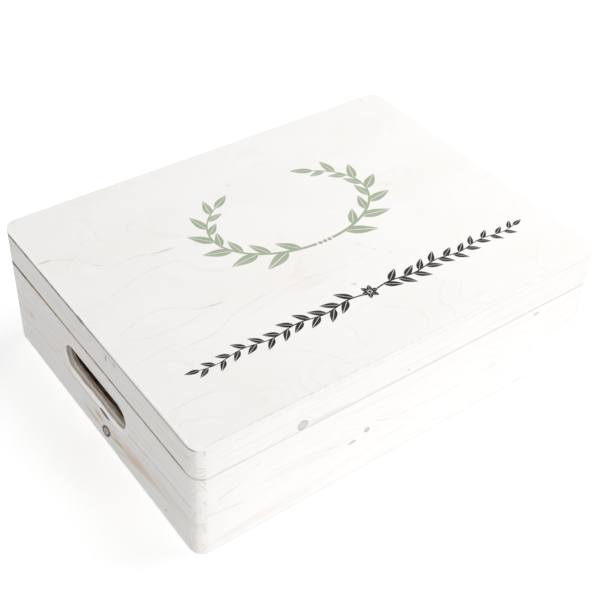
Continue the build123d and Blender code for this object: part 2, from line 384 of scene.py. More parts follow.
def wash_gaps(add, late, fibre, streak, patch, length, half_length, show):
    """How far the wash leaves the pine bare, from 0 to 1.

    It is thinner on fibres, streaks and late wood, in patches, and where end grain drinks it.
    """
    gaps = add("MapRange", patch, 0.4, 0.7, 0.008, 0.008 + 0.05 * show, **EASED)
    in_fibre = add("MapRange", fibre, 0.48, 0.72, 0, 0.01 + 0.08 * show, **EASED)
    gaps = add("Math", gaps, in_fibre, operation="ADD")
    in_streak = add("MapRange", streak, 0.52, 0.7, 0, 0.1 * show, **EASED)
    gaps = add("Math", gaps, in_streak, operation="ADD")
    in_late = add("MapRange", patch, 0.4, 0.7, 0.02, 0.02 + 0.12 * show, **EASED)
    gaps = add("Math", late, in_late, gaps, operation="MULTIPLY_ADD")
    end_grain = add("MapRange", length, half_length - 4.5, half_length - 0.6, **EASED)
    in_end = add("Math", late, 0.2, 0.08, operation="MULTIPLY_ADD")
    return add("Math", end_grain, in_end, gaps, operation="MULTIPLY_ADD")


def wash_with_painted_shade(add, x, y):
    """The colour of the wash on the pine, with painted shade: greyer at the left side, and greyer there
    towards the back.
    """
    from_left = add("Math", x, HALF_WIDTH, operation="ADD")
    # thin is the share of painted shade on the wash
    thin = read_off(add, from_left, PAINTED_SHADE_AT_LEFT)
    to_back = add("MapRange", y, -HALF_DEPTH, 40, 0.84, 1.1)
    thin = add("Math", thin, to_back, operation="MULTIPLY")
    return add("Mix", thin, WHITEWASH, SHADED_WASH_GREY, **RGBA)


# How far a point lies past a slot's straight edges, above its middle and outside its outline, in
# millimetres, and a share that is 1 on its wall and 0 away from it
SlotPlace = namedtuple("SlotPlace", "past_straight rise outside on_wall")


def from_slot(add, length, z):
    """Where a point lies from a board's hand slot."""
    past_straight = add("Math", length, SLOT_STRAIGHT, operation="SUBTRACT")
    past_straight = add("Math", past_straight, 0.0, operation="MAXIMUM")
    rise = add("Math", z, SLOT_HEIGHT, operation="SUBTRACT")
    outside = add("VectorMath", add("CombineXYZ", past_straight, rise), operation="LENGTH")
    outside = add("Math", outside, SLOT_R, operation="SUBTRACT")
    on_wall = add("MapRange", outside, *WALL_EDGE, **EASED)
    return SlotPlace(past_straight, rise, outside, on_wall)


def slotted(add, colour, grain, inside, place_by_slot, seed):
    """A colour with a hand slot's painted highlight on its lip, its brown wall, and painted shade that
    darkens the wall further in and blackens its inner edge.
    """
    # A painted highlight on the slot's eased lip, strongest below the slot, where the lip faces up
    lip = add("Math", place_by_slot.rise, 0.2, place_by_slot.outside, operation="MULTIPLY_ADD")
    lip = add("MapRange", lip, *LIP_EDGE, 0, 0.46, **EASED)
    along_lip = add("MapRange", place_by_slot.past_straight, 0, 9, 1.0, 0.3)
    lip = add("Math", lip, along_lip, operation="MULTIPLY")
    colour = add("Mix", lip, colour, PAINTED_HIGHLIGHT_WHITE, **RGBA)

    # The bare wall is brown in uneven bands, and browner further in as painted shade
    sway = add("TexNoise", laid(add, grain, (30, 12, 6), seed), 1, 3, 0.6)
    sway = add("Math", sway, 2.4, -1.2, operation="MULTIPLY_ADD")
    into_wall = add("Math", inside, sway, operation="ADD")
    wall_and_shade = read_off(add, into_wall, SLOT_WALL_AND_SHADE)
    wall_streaks = add("TexNoise", laid(add, grain, (9, 5, 1.2), seed + 1), 1, 3, 0.7)
    wall_streaks = add("MapRange", wall_streaks, 0.3, 0.7, 0.66, 1.2)
    wall_and_shade = add("Math", wall_and_shade, wall_streaks, operation="MULTIPLY")
    wall_and_shade = add("Math", wall_and_shade, place_by_slot.on_wall, operation="MULTIPLY")
    colour = add("Mix", wall_and_shade, colour, SLOT_WALL_AND_SHADE_BROWN, **RGBA)
    # Painted shade: the wall turns near black towards the slot's inside
    inner_shade = add("MapRange", into_wall, *SLOT_SHADE_DEPTH, **EASED)
    inner_shade = add("Math", inner_shade, place_by_slot.on_wall, operation="MULTIPLY")
    return add("Mix", inner_shade, colour, KNOT_AND_SLOT_SHADE_DARK, **RGBA)


def seamed(add, colour, place, y, washed, strength, seed):
    """A colour with the seam's line on it: the brown of bare cut wood, flecked with black, and black at
    its back end; the black is painted shade of an open gap.
    """
    # Painted shade of an open gap: black flecks, more of them towards the back
    fleck = add("TexNoise", laid(add, place, (9, 9, 9), seed), 1, 3, 0.7)
    to_back = add("MapRange", y, HALF_DEPTH - 60, HALF_DEPTH - 15, 0, 0.25)
    gap_shade = add("Math", fleck, to_back, operation="ADD")
    gap_shade = add("MapRange", gap_shade, 0.46, 0.68, 0, 0.85, **EASED)
    seam_colour = add("Mix", gap_shade, SEAM_BROWN, SEAM_GAP_SHADE_BLACK, **RGBA)
    in_seam = add("Math", seam_mark(add, place, seed + 1, strength), washed, operation="MULTIPLY")
    return add("Mix", in_seam, colour, seam_colour, **RGBA)


def washed_pine(
    name, along_x, pith, seed, knots=(), stains=(), lines=(),
    seam=(0.3, 0.3), show=1.0, slot=False, dark_joint=False,
):
    """Sanded pine under a thin white wash; the faces inside the box are bare.

    The wash nearly hides the wood: the late wood of each growth ring shows as a faint warm line,
    the knots and resin streaks show brown, and the end grain drinks the wash and stays greyer.
    show is how much of the wood shows through, and seam how dark the line to the lid is.
    """
    material, add = new_material(name)
    place = place_in_mm(add)
    x, y, z = add("SeparateXYZ", place, out=None).outputs
    along, through = (x, y) if along_x else (y, x)
    half_length = HALF_WIDTH if along_x else HALF_DEPTH
    grain = add("CombineXYZ", along, z, through)
    length = add("Math", along, operation="ABSOLUTE")
    inside = depth_inside(add, place)

    # The bare wood
    late = growth_rings(add, grain, pith, seed, knots)
    fibre = add("TexNoise", laid(add, grain, PINE_FIBRE, seed + 5), 1, 3, 0.6)
    streak = add("TexNoise", laid(add, grain, PINE_STREAK, seed + 7), 1, 3, 0.6)
    patch = add("TexNoise", laid(add, grain, PINE_PATCH, seed + 11), 1, 2)
    tone = add("Math", fibre, 0.45, -0.12, operation="MULTIPLY_ADD")
    tone = add("Math", late, 0.6, tone, operation="MULTIPLY_ADD")
    wood = add("Mix", tone, EARLY_PINE, LATE_PINE, **RGBA)

    # The wash on its outer faces and on the slot's wall
    gaps = wash_gaps(add, late, fibre, streak, patch, length, half_length, show)
    cover = add("Math", 1.0, gaps, operation="SUBTRACT")
    washed = add("MapRange", inside, *WASH_ENDS, **EASED)
    if slot:
        place_by_slot = from_slot(add, length, z)
        washed = add("Math", washed, place_by_slot.on_wall, operation="MAXIMUM")
    cover = add("Math", cover, washed, operation="MULTIPLY")
    colour = add("Mix", cover, wood, wash_with_painted_shade(add, x, y), **RGBA)
    if slot:
        colour = slotted(add, colour, grain, inside, place_by_slot, seed + 21)

    # The marks that show through it
    hairlines = finger_hairlines(add, place, length, half_length, seed + 13)
    hairlines = add("Math", hairlines, 0.22, operation="MULTIPLY")
    hairlines = add("Math", hairlines, washed, operation="MULTIPLY")
    colour = add("Mix", hairlines, colour, LINE_BROWN, **RGBA)
    colour = stained(add, colour, grain, stains, streak)
    if lines:
        marks = line_marks(add, grain, lines, seed + 15, 1.6)
        marks = add("Math", marks, washed, operation="MULTIPLY")
        colour = add("Mix", marks, colour, GRAIN_BROWN, **RGBA)
    colour = knotted(add, colour, grain, knots, seed + 17)
    colour = seamed(add, colour, place, y, washed, seam, seed + 18)
    if dark_joint:
        colour = add("Mix", panel_joint_line(add, place), colour, JOINT_LINE_BROWN, **RGBA)

    roughness = add("MapRange", fibre, 0, 1, 0.52, 0.7)
    height = add("Math", late, fibre, operation="ADD")
    finish_material(add, colour, roughness, height, 0.03)
    return material


def veneer_figure(add, flat):
    """The figure of peeled birch, 1 on its darkest lines: faint loops and tongues, seen in places."""
    roll = add("TexNoise", laid(add, flat, (150, 62, 1), 4), 1, 1.5, 0.4)
    ripple = add("TexNoise", laid(add, flat, (34, 16, 1), 9), 1, 2)
    field = add("Math", ripple, 0.07, roll, operation="MULTIPLY_ADD")
    ring = add("Math", field, 15.0, operation="MULTIPLY")
    ring = add("Math", ring, operation="FRACT")
    figure = add("MapRange", ring, 0.6, 0.96, **EASED)
    edge = add("MapRange", ring, 1.0, 0.97, **EASED)
    figure = add("Math", figure, edge, operation="MULTIPLY")
    seen = add("TexNoise", laid(add, flat, (60, 40, 1), 21), 1, 1)
    seen = add("MapRange", seen, 0.4, 0.8, **EASED)
    return add("Math", figure, seen, operation="MULTIPLY")


def edge_marked(add, colour, x, y, fleck):
    """The veneer's colour with a painted highlight on its left edge and a fine worn line on its front
    one.
    """
    # Painted highlight along the rounded left edge
    rim = add("MapRange", x, *[mm - HALF_WIDTH for mm in ARRIS_EDGE], **EASED)
    colour = add("Mix", rim, colour, PAINTED_HIGHLIGHT_WHITE, **RGBA)
    arris = add("Math", y, ARRIS_AT - HALF_DEPTH, operation="SUBTRACT")
    arris = add("Math", arris, operation="ABSOLUTE")
    arris = add("MapRange", arris, *ARRIS_EDGE, **EASED)
    worn = add("MapRange", fleck, 0.35, 0.65, 0.5, 1.0, **EASED)
    to_right = add("MapRange", x, -120, 120, 0.2, 0.08)
    worn = add("Math", worn, to_right, operation="MULTIPLY")
    worn = add("Math", worn, arris, operation="MULTIPLY")
    return add("Mix", worn, colour, GRAIN_BROWN, **RGBA)


def veneer_layers(add, place, z, wood):
    """The colour of the plywood's washed edge: three veneers, the middle one in end grain."""
    third = (TOP - RAIL_TOP) / 3
    from_middle = add("Math", z, RAIL_TOP + 1.5 * third, operation="SUBTRACT")
    from_middle = add("Math", from_middle, operation="ABSOLUTE")
    core = add("MapRange", from_middle, third / 2 + 0.1, third / 2 - 0.1, 0, 0.18, **EASED)
    pores = add("TexNoise", laid(add, place, (1.2, 1.2, 0.6), 51), 1, 2)
    end_grain = add("Mix", pores, WHITEWASH, wood, **RGBA)
    return add("Mix", core, WHITEWASH, end_grain, **RGBA)


def washed_birch(name, lines, spots):
    """Rotary-cut birch plywood under a white wash, with its layers showing at the sides.

    The peeled veneer's figure is faint loops and tongues, with a few brown mineral streaks.
    """
    material, add = new_material(name)
    place = place_in_mm(add)
    x, y, z = add("SeparateXYZ", place, out=None).outputs
    flat = add("CombineXYZ", x, y, 0)
    inside = depth_inside(add, place)

    # The bare veneer
    figure = veneer_figure(add, flat)
    fibre = add("TexNoise", laid(add, flat, VENEER_FIBRE, 31), 1, 3)
    patch = add("TexNoise", laid(add, flat, (90, 50, 1), 41), 1, 3)
    fleck = add("TexNoise", laid(add, flat, (5, 3, 1), 44), 1, 3)
    tone = add("Math", figure, 0.35, fibre, operation="MULTIPLY_ADD")
    wood = add("Mix", tone, linear("#E6D3B8"), linear("#C3A27E"), **RGBA)

    # How far the wash leaves it bare
    gaps = add("MapRange", patch, 0.35, 0.75, 0.015, 0.07, **EASED)
    gaps = add("Math", fleck, 0.045, gaps, operation="MULTIPLY_ADD")
    gaps = add("Math", figure, 0.07, gaps, operation="MULTIPLY_ADD")
    in_fibre = add("MapRange", fibre, 0.5, 0.8, 0, 0.03, **EASED)
    gaps = add("Math", gaps, in_fibre, operation="ADD")
    colour = add("Mix", gaps, WHITEWASH, wood, **RGBA)
    colour = edge_marked(add, colour, x, y, fleck)

    # Mineral streaks and spots
    marks = line_marks(add, flat, lines, 61, 2.0)
    uneven = add("MapRange", fleck, 0, 1, -0.5, 0.5)
    for spot in spots:
        radii = (spot.half_length, spot.half_width)
        reach = from_centre(add, flat, (spot.along, spot.across), radii, spot.tilt)
        reach = add("Math", reach, uneven, operation="ADD")
        spotted = add("MapRange", reach, 1.2, 0.3, 0, spot.strength, **EASED)
        marks = add("Math", marks, spotted, operation="ADD")
    colour = add("Mix", marks, colour, LINE_BROWN, **RGBA)

    # The sides, below the rounded top edge, and the bare underside
    below_top = add("MapRange", z, TOP - 0.8, TOP - 1.2, **EASED)
    side = add("MapRange", inside, 1.3, 0.7, **EASED)
    side = add("Math", side, below_top, operation="MULTIPLY")
    colour = add("Mix", side, colour, veneer_layers(add, place, z, wood), **RGBA)
    dark_joint = add("Math", panel_joint_line(add, place), side, operation="MULTIPLY")
    colour = add("Mix", dark_joint, colour, JOINT_LINE_BROWN, **RGBA)
    underside = add("MapRange", z, RAIL_TOP + 0.3, RAIL_TOP + 0.05, **EASED)
    colour = add("Mix", underside, colour, wood, **RGBA)

    roughness = add("MapRange", fibre, 0, 1, 0.5, 0.64)
    height = add("Math", fibre, figure, operation="ADD")
    finish_material(add, colour, roughness, height, 0.015)
    return material


def bare_birch(name):
    """Bare birch plywood, for the floor panel: warm, even, with broad faint figure."""
    material, add = new_material(name)
    place = place_in_mm(add)
    roll = add("TexNoise", laid(add, place, (190, 60, 4), 64), 1, 1.5, 0.4)
    ring = add("Math", roll, 9.0, operation="MULTIPLY")
    ring = add("Math", ring, operation="FRACT")
    figure = add("MapRange", ring, 0.4, 0.96, 0, 0.2, **EASED)
    edge = add("MapRange", ring, 1.0, 0.97, **EASED)
    figure = add("Math", figure, edge, operation="MULTIPLY")
    fibre = add("TexNoise", laid(add, place, (22, 0.6, 2), 71), 1, 3)
    tone = add("Math", fibre, 0.5, figure, operation="MULTIPLY_ADD")
    colour = add("Mix", tone, linear("#EBDABC"), linear("#CBA87A"), **RGBA)
    roughness = add("MapRange", fibre, 0, 1, 0.5, 0.65)
    finish_material(add, colour, roughness, tone, 0.03)
    return material


def plated_metal(name, bright, dull, size=1.0):
    """Plated steel, pressed or drawn: brushed along its length and a little duller in patches.

    Its brush marks are drawn several times their real width, because finer ones wouldn't show.
    size makes them and the patches smaller on a small piece.
    """
    material, add = new_material(name)
    place = place_in_mm(add)
    brush = add("TexNoise", laid(add, place, (10 * size, 0.25, 0.25), 5), 1, 2)
    tarnish = add("TexNoise", laid(add, place, [5 * size] * 3, 8), 1, 3)
    dulled = add("MapRange", tarnish, 0.35, 0.75, **EASED)
    colour = add("Mix", dulled, linear(bright), linear(dull), **RGBA)
    roughness = add("MapRange", tarnish, 0, 1, 0.22, 0.42)
    finish_material(add, colour, roughness, brush, 0.01, Metallic=1.0)
    return material


def print_ink(name, full, worn):
    """Flat ink printed on the washed veneer, with the fibre showing faintly through it."""
    material, add = new_material(name)
    place = place_in_mm(add)
    fibre = add("TexNoise", laid(add, place, VENEER_FIBRE, 31), 1, 3)
    patch = add("TexNoise", laid(add, place, (26, 14, 1), 15), 1, 2)
    share = add("Math", fibre, patch, operation="ADD")
    share = add("MapRange", share, 0.7, 1.5, **EASED)
    colour = add("Mix", share, linear(full), linear(worn), **RGBA)
    roughness = add("MapRange", fibre, 0, 1, 0.5, 0.65)
    finish_material(add, colour, roughness, fibre, 0.02)
    return material


def lit_floor(name, glow):
    """Matt white acrylic, faintly lit from below, so that the box stands on an even pale ground."""
    material, add = new_material(name)
    tooth = add("TexNoise", laid(add, place_in_mm(add), (0.8, 0.8, 0.8), 2), 1, 2)
    colour = add("Mix", tooth, linear("#FCFCFC"), linear("#F8F8F8"), **RGBA)
    light = {"Emission_Color": linear("#FFFFFF"), "Emission_Strength": glow}
    finish_material(add, colour, 0.9, tooth, 0.02, **light)
    return material


def dress(material, *nodes):
    """Gives CAD nodes a material."""
    for name in nodes:
        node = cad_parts[name]
        node.data.materials.clear()
        node.data.materials.append(material)


# Each board is its own piece of wood, so each has its own pith, knots and lines
dress(
    washed_pine(
        "washed_pine_front_board", along_x=True, pith=(30.0, -235.0), seed=1,
        knots=[
            Knot(-58, 40.5, 3.4, 1.3, 2, 0.40),
            Knot(-44, 46.0, 2.3, 2.1, 0, 0.51, ring=True),
            Knot(135, 79, 2.8, 1.3, 0, 0.31),
        ],
        stains=[
            Stain(-150, 12, 75, 9, 6, 0.05),
            Stain(-30, 22, 60, 4, 10, 0.04),
            Stain(-90, 48, 50, 10, 0, 0.03),
        ],
        lines=[
            Line(0.12, 0.9, [(-35, 50), (-25, 46), (5, 42), (45, 40), (90, 42), (122, 49)]),
            Line(0.12, 0.8, [(-37, 53), (-26, 46), (-8, 40)]),
            Line(0.14, 0.8, [(-39, 48), (-31, 38)]),
            Line(0.18, 1.1, [(-192, 46), (-180, 43), (-160, 40)]),
            Line(0.08, 0.8, [(-160, 40), (-100, 38), (-50, 38)]),
            Line(0.10, 0.8, [(-140, 58), (-100, 53), (-70, 46), (-48, 49)]),
            Line(0.08, 0.8, [(-100, 61), (-70, 58), (-50, 52)]),
            Line(0.09, 0.7, [(-92, 45), (-80, 40), (-72, 37)]),
            Line(0.09, 0.7, [(-84, 50), (-74, 44), (-66, 39)]),
            Line(0.20, 0.9, [(-182, 57.5), (-165, 62)]),
            Line(0.18, 0.8, [(-154, 67), (-145, 77)]),
            Line(0.12, 1.0, [(-142, 5), (-115, 9), (-92, 14), (-48, 24)]),
            Line(0.06, 0.8, [(-60, 74), (30, 72)]),
            Line(0.06, 0.7, [(-185, 52), (-120, 50), (-60, 56)]),
        ],
        seam=(0.25, 0.25),
        show=0.15,
    ),
    "front_board",
)
dress(
    washed_pine(
        "washed_pine_back_board", along_x=True, pith=(60.0, 230.0), seed=12,
        knots=[Knot(70, 55, 6, 4, 8, 0.6, ring=True)],
    ),
    "back_board",
)
dress(
    washed_pine(
        "washed_pine_left_board", along_x=False, pith=(20.0, -268.0), seed=23,
        knots=[
            Knot(-12.8, 14.5, 7.4, 4.6, -48, 0.97, ring=True),
            Knot(-13, 35, 6.6, 2.1, 4, 0.95),
            Knot(113, 46, 2.0, 1.8, 20, 0.25, ring=True),
            Knot(-105, 11, 0.8, 1.6, 20, 0.45),
        ],
        stains=[
            Stain(-72, 27, 62, 10, -6, 0.24),
            Stain(-52, 19.5, 42, 5.5, -9, 0.46),
            Stain(-26, 22, 14, 7, -20, 0.26),
            Stain(-31, 18, 17, 3.6, -17, 0.85),
            Stain(-2, 23.5, 12, 6, 4, 0.55),
            Stain(10, 14.5, 22, 3.6, 2, 0.62),
            Stain(-115, 31, 60, 9, -4, 0.20),
            Stain(120, 44, 26, 8, -10, 0.13),
        ],
        lines=[
            Line(0.42, 1.0, [(-44, 46), (-75, 48), (-110, 50.5), (-146, 52.5)]),
            Line(0.26, 0.8, [(-19, 35), (-50, 38), (-100, 39), (-146, 38)]),
            Line(0.42, 1.3, [(-8, 35), (30, 34), (60, 36)]),
            Line(0.26, 1.0, [(60, 36), (100, 33.5), (142, 27)]),
            Line(0.22, 0.9, [(142, 40), (120, 42), (106, 47)]),
            Line(0.18, 0.9, [(142, 76), (110, 71)]),
            Line(0.42, 1.1, [(-16, 7), (-32, 9), (-45, 13), (-75, 20), (-100, 23)]),
            Line(0.20, 0.8, [(-24, 31), (-33, 36)]),
            Line(0.34, 1.2, [(24, 14), (10, 14), (-2, 14)]),
            Line(0.34, 1.2, [(-19, 15), (-28, 18), (-36, 20.5), (-46, 19.5)]),
            Line(0.22, 0.9, [(64, 46), (54, 44)]),
            Line(0.18, 0.8, [(146, 58), (110, 56), (76, 60), (56, 66)]),
            Line(0.16, 0.8, [(60, 70), (10, 74), (-40, 73)]),
            Line(0.16, 0.8, [(-60, 66), (-100, 63), (-144, 62)]),
            Line(0.16, 0.8, [(140, 14), (90, 18), (50, 16)]),
            Line(0.18, 0.8, [(-60, 42), (-104, 44), (-146, 45)]),
        ],
        # Dark seam on this side: painted shade of an open gap
        seam=(0.85, 1.0),
        show=0.85,
        slot=True,
    ),
    "left_board",
)
dress(
    washed_pine(
        "washed_pine_right_board", along_x=False, pith=(70.0, 262.0), seed=34,
        knots=[Knot(60, 20, 5, 4, 0, 0.6, ring=True)],
        seam=(0.3, 0.5),
        slot=True,
    ),
    "right_board",
)
dress(
    washed_pine(
        "washed_pine_lid_front_rail", along_x=True, pith=(150.0, -240.0), seed=45,
        knots=[Knot(-109, 91.5, 4.2, 4.0, 0, 0.42, ring=True), Knot(-7.5, 91.7, 1.2, 0.8, 0, 0.3)],
        stains=[Stain(-90, 89, 34, 3, 0, 0.18)],
        lines=[
            Line(0.10, 0.8, [(-192, 112.5), (-170, 112), (-148, 111)]),
            Line(0.08, 0.7, [(-190, 104), (-120, 101), (-60, 104)]),
            Line(0.08, 0.7, [(-120, 107), (-40, 109)]),
            Line(0.06, 0.7, [(-60, 98), (60, 96), (180, 99)]),
            Line(0.06, 0.7, [(20, 106), (150, 108)]),
            Line(0.10, 0.8, [
                (-145, 88.5), (-118, 90), (-112, 97), (-104, 97), (-98, 90), (-60, 88.5),
            ]),
        ],
        seam=(0.25, 0.25),
        show=0.2,
    ),
    "lid_front_rail",
)
dress(
    washed_pine("washed_pine_lid_back_rail", along_x=True, pith=(160.0, 235.0), seed=56),
    "lid_back_rail",
)
dress(
    washed_pine(
        "washed_pine_lid_left_rail", along_x=False, pith=(112.0, -215.0), seed=67,
        knots=[Knot(-25, 106, 1.2, 2.8, 10, 0.45), Knot(-38, 110, 1.6, 1.8, 0, 0.3)],
        stains=[Stain(-140, 104, 14, 6, 0, 0.16), Stain(-30, 110, 16, 6, 0, 0.16)],
        lines=[
            Line(0.28, 0.9, [(51, 88), (42, 92), (28, 96), (12, 99), (3, 103), (-8, 114)]),
            Line(0.22, 0.9, [(10, 90), (3, 95), (-6, 99)]),
            Line(0.18, 0.8, [(9, 104), (0, 109), (-7, 115)]),
            Line(0.18, 0.8, [(100, 101), (70, 103), (42, 106)]),
            Line(0.20, 0.8, [(-16, 89), (-44, 92), (-90, 96), (-140, 98)]),
            Line(0.16, 0.8, [(130, 94), (90, 97), (50, 99)]),
            Line(0.16, 0.8, [(-40, 97), (-90, 101), (-142, 102)]),
        ],
        # Dark seam on this side: painted shade of an open gap
        seam=(0.85, 1.0),
        show=0.85,
        dark_joint=True,
    ),
    "lid_left_rail",
)
dress(
    washed_pine(
        "washed_pine_lid_right_rail", along_x=False, pith=(140.0, 240.0), seed=78,
        seam=(0.3, 0.5),
    ),
    "lid_right_rail",
)
dress(
    washed_birch(
        "washed_birch_lid_top",
        lines=[
            Line(0.20, 0.9, [
                (-199, 85.5), (-188, 84), (-179, 79), (-170, 74), (-163, 62), (-155, 54),
            ]),
            Line(0.18, 0.8, [(-155, 52), (-133, 52), (-113, 47), (-94, 45)]),
            Line(0.14, 0.8, [
                (-199, 20), (-186, 17), (-158, 23), (-126, 31), (-106, 30), (-96, 17), (-80, -1),
                (-20, -2),
            ]),
            Line(0.14, 0.8, [
                (-189, -25), (-178, -20), (-150, -14), (-136, -18), (-120, -29), (-100, -33),
            ]),
            Line(0.13, 0.8, [(-189, -25), (-178, -32), (-160, -38), (-136, -38), (-120, -29)]),
            Line(0.12, 0.9, [
                (-199, -60), (-176, -54), (-158, -53), (-152, -60), (-132, -60), (-98, -48),
                (-60, -42), (-24, -31),
            ]),
            Line(0.11, 0.8, [(-96, -58), (-68, -52), (-36, -46), (10, -50), (40, -46)]),
            Line(0.13, 0.9, [(27, -27), (33, -38), (40, -46)], steep=True),
            Line(0.13, 0.8, [(-199, -112), (-180, -108), (-154, -110)]),
            Line(0.11, 0.8, [(-199, -123), (-178, -126), (-166, -136), (-161, -147)]),
            Line(0.12, 0.8, [
                (-116, -76), (-100, -98), (-80, -112), (-66, -128), (-59, -146),
            ], steep=True),
            Line(0.11, 0.8, [(-50, -106), (-36, -114), (-40, -126), (-32, -140)], steep=True),
            Line(0.12, 0.9, [(-6, -100), (12, -116), (21, -132), (2, -143)], steep=True),
            Line(0.13, 0.9, [(80, -103), (56, -112), (42, -126), (44, -136), (38, -147)], steep=True),
            Line(0.12, 0.9, [(128, -100), (90, -110), (66, -122), (60, -134), (70, -148)], steep=True),
            Line(0.10, 0.9, [(170, -112), (146, -128), (140, -138), (142, -148)], steep=True),
            Line(0.11, 1.0, [
                (-20, 112), (-56, 107), (-88, 100), (-118, 86), (-92, 74), (-70, 68), (-40, 66),
            ], steep=True),
            Line(0.10, 1.0, [
                (-40, 127), (-90, 118), (-124, 106), (-144, 92), (-134, 78), (-104, 66), (-80, 58),
            ], steep=True),
            Line(0.08, 1.0, [(-30, 104), (-66, 98), (-94, 87), (-76, 79), (-44, 75)], steep=True),
            Line(0.08, 1.0, [(-60, 133), (-110, 122), (-150, 104), (-158, 88), (-146, 74)], steep=True),
            Line(0.06, 1.0, [(100, 26), (130, 34), (168, 32), (190, 24)]),
        ],
        spots=[
            Stain(-106, 46, 12, 0.8, -6, 0.30),
            Stain(-194, 85, 7, 1.2, -4, 0.30),
            Stain(-108, -32, 10, 0.9, -8, 0.24),
            Stain(-2, -72, 2.6, 1.6, -20, 0.28),
            Stain(40, -46, 2.2, 1.2, 0, 0.24),
            Stain(-12, 94, 3.0, 1.4, 0, 0.20),
            Stain(178, 144, 1.6, 3.0, 0, 0.16),
            Stain(-192, 146, 3.0, 1.4, 0, 0.16),
            Stain(33, -34, 3.0, 5.0, 20, 0.07),
            Stain(48, -56, 2.0, 2.0, 0, 0.10),
        ],
    ),
    "lid_top_panel",
)
dress(bare_birch("bare_birch_floor_panel"), "floor_panel")
hinge_brass = plated_metal("brass_plated_hinge_steel", "#D9B66B", "#B08D4A")
screw_brass = plated_metal("brass_plated_screw_steel", "#E0BF78", "#A98648", size=0.3)
for hinge in ("left_hinge", "right_hinge"):
    dress(hinge_brass, f"{hinge}_body_leaf", f"{hinge}_lid_leaf", f"{hinge}_pin")
    dress(screw_brass, f"{hinge}_body_screws", f"{hinge}_lid_screws")
dress(plated_metal("bright_brad_wire", "#C9C9C6", "#A6A6A3", size=0.25), "floor_brads")


# ---- Printed ornament on the lid ----

# In millimetres
INK_LIFT = 0.08  # how far the print stands above the veneer
INK_ROOT = 0.04  # how far it reaches down into it
LAYER = 0.008  # between leaves printed over each other
WREATH_CENTRE = Vector((12.0, 35.0))
WREATH_RADII = (78.0, 50.0)
DIVIDER_Y = -86.0
DIVIDER_ENDS = (-165.0, 170.0)
LEAF_SPREAD = radians(38)  # between a leaf and its stem


def strip(bm, steps, left, right, lift):
    """A flat strip between two edges, each given by a function of the share of its length."""
    made = bmesh.ops.create_grid(bm, x_segments=steps, y_segments=1, size=0.5)
    for vert in made["verts"]:
        edge = right if vert.co.y > 0 else left
        vert.co = (*edge(vert.co.x + 0.5), lift)


def leaf(bm, root, direction, length, width, lift):
    """A pointed leaf in two halves, with its rib left bare between them."""
    side = Vector((-direction.y, direction.x))
    half_rib = 0.035 * width
    for sign in (-1, 1):
        def inner(share, sign=sign):
            return root + direction * length * share + side * sign * half_rib

        def outer(share, sign=sign):
            swell = sin(pi * share ** 0.8) * (1 - 0.25 * share)
            return inner(share) + side * sign * width / 2 * swell

        strip(bm, 12, inner, outer, lift)


def berry(bm, centre, radius):
    """A round berry."""
    made = bmesh.ops.create_circle(bm, cap_ends=True, segments=20, radius=radius)
    bmesh.ops.translate(bm, verts=made["verts"], vec=(*centre, 0))


def sprig(bm, path, leaf_length, leaf_width, pairs, stem, inner_side=0):
    """A stem along a path, with pairs of leaves and a leaf at its tip.

    Leaves on the inner side of a bent stem are shorter. Neighbouring leaves are printed a hair
    apart in height and the stem above them all, so that no two that overlap lie in one plane.
    """
    def heading(share):
        step = 0.01
        return (path(min(share + step, 1)) - path(max(share - step, 0))).normalized()

    def edge(sign):
        def at(share):
            along = heading(share)
            return path(share) + Vector((-along.y, along.x)) * sign * stem / 2 * (1 - 0.6 * share)
        return at

    for i in range(pairs):
        for sign in (-1, 1):
            share = (i + 0.75 + 0.22 * sign) / (pairs + 0.4)
            size = (1 - 0.35 * share) * (0.78 if sign == inner_side else 1)
            along = heading(share)
            spread = sign * LEAF_SPREAD
            turned = Vector((
                along.x * cos(spread) - along.y * sin(spread),
                along.x * sin(spread) + along.y * cos(spread),
            ))
            lift = LAYER * (2 * (i % 2) + (sign + 1) / 2)
            leaf(bm, path(share), turned, leaf_length * size, leaf_width * size, lift)
    leaf(bm, path(1), heading(1), leaf_length * 0.7, leaf_width * 0.65, 4 * LAYER)
    strip(bm, 48, edge(-1), edge(1), 5 * LAYER)


def arc_branch(side):
    """The path of one half of the wreath, from its foot round and up."""
    def at(share):
        angle = radians(-84 + 132 * share)
        across, up = WREATH_RADII
        return WREATH_CENTRE + Vector((side * across * cos(angle), up * sin(angle)))
    return at


def line_branch(end):
    """The path of one half of the divider, from its middle out to one end, in three slight waves."""
    middle = sum(DIVIDER_ENDS) / 2

    def at(share):
        x = middle + (end - middle) * (0.045 + 0.9 * share)
        return Vector((x, DIVIDER_Y + 1.6 * sin(2 * pi * 3 * share)))
    return at


def printed(name, material, draw):
    """A printed shape on the lid: drawn flat, then given the ink's thickness."""
    bm = bmesh.new()
    draw(bm)
    bmesh.ops.remove_doubles(bm, verts=bm.verts, dist=0.02)
    bmesh.ops.dissolve_degenerate(bm, edges=bm.edges, dist=0.01)
    bmesh.ops.scale(bm, verts=bm.verts, vec=(MM, MM, MM))
    bmesh.ops.translate(bm, verts=bm.verts, vec=(0, 0, (TOP - INK_ROOT) * MM))
    grown = bmesh.ops.extrude_face_region(bm, geom=list(bm.faces))
    raised = [v for v in grown["geom"] if isinstance(v, bmesh.types.BMVert)]
    bmesh.ops.translate(bm, verts=raised, vec=(0, 0, (INK_ROOT + INK_LIFT) * MM))
    bmesh.ops.recalc_face_normals(bm, faces=bm.faces)
    mesh = bpy.data.meshes.new(name)
    bm.to_mesh(mesh)
    bm.free()
    mesh.materials.append(material)
    piece = bpy.data.objects.new(name, mesh)
    bpy.context.scene.collection.objects.link(piece)
    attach(piece, "lid")


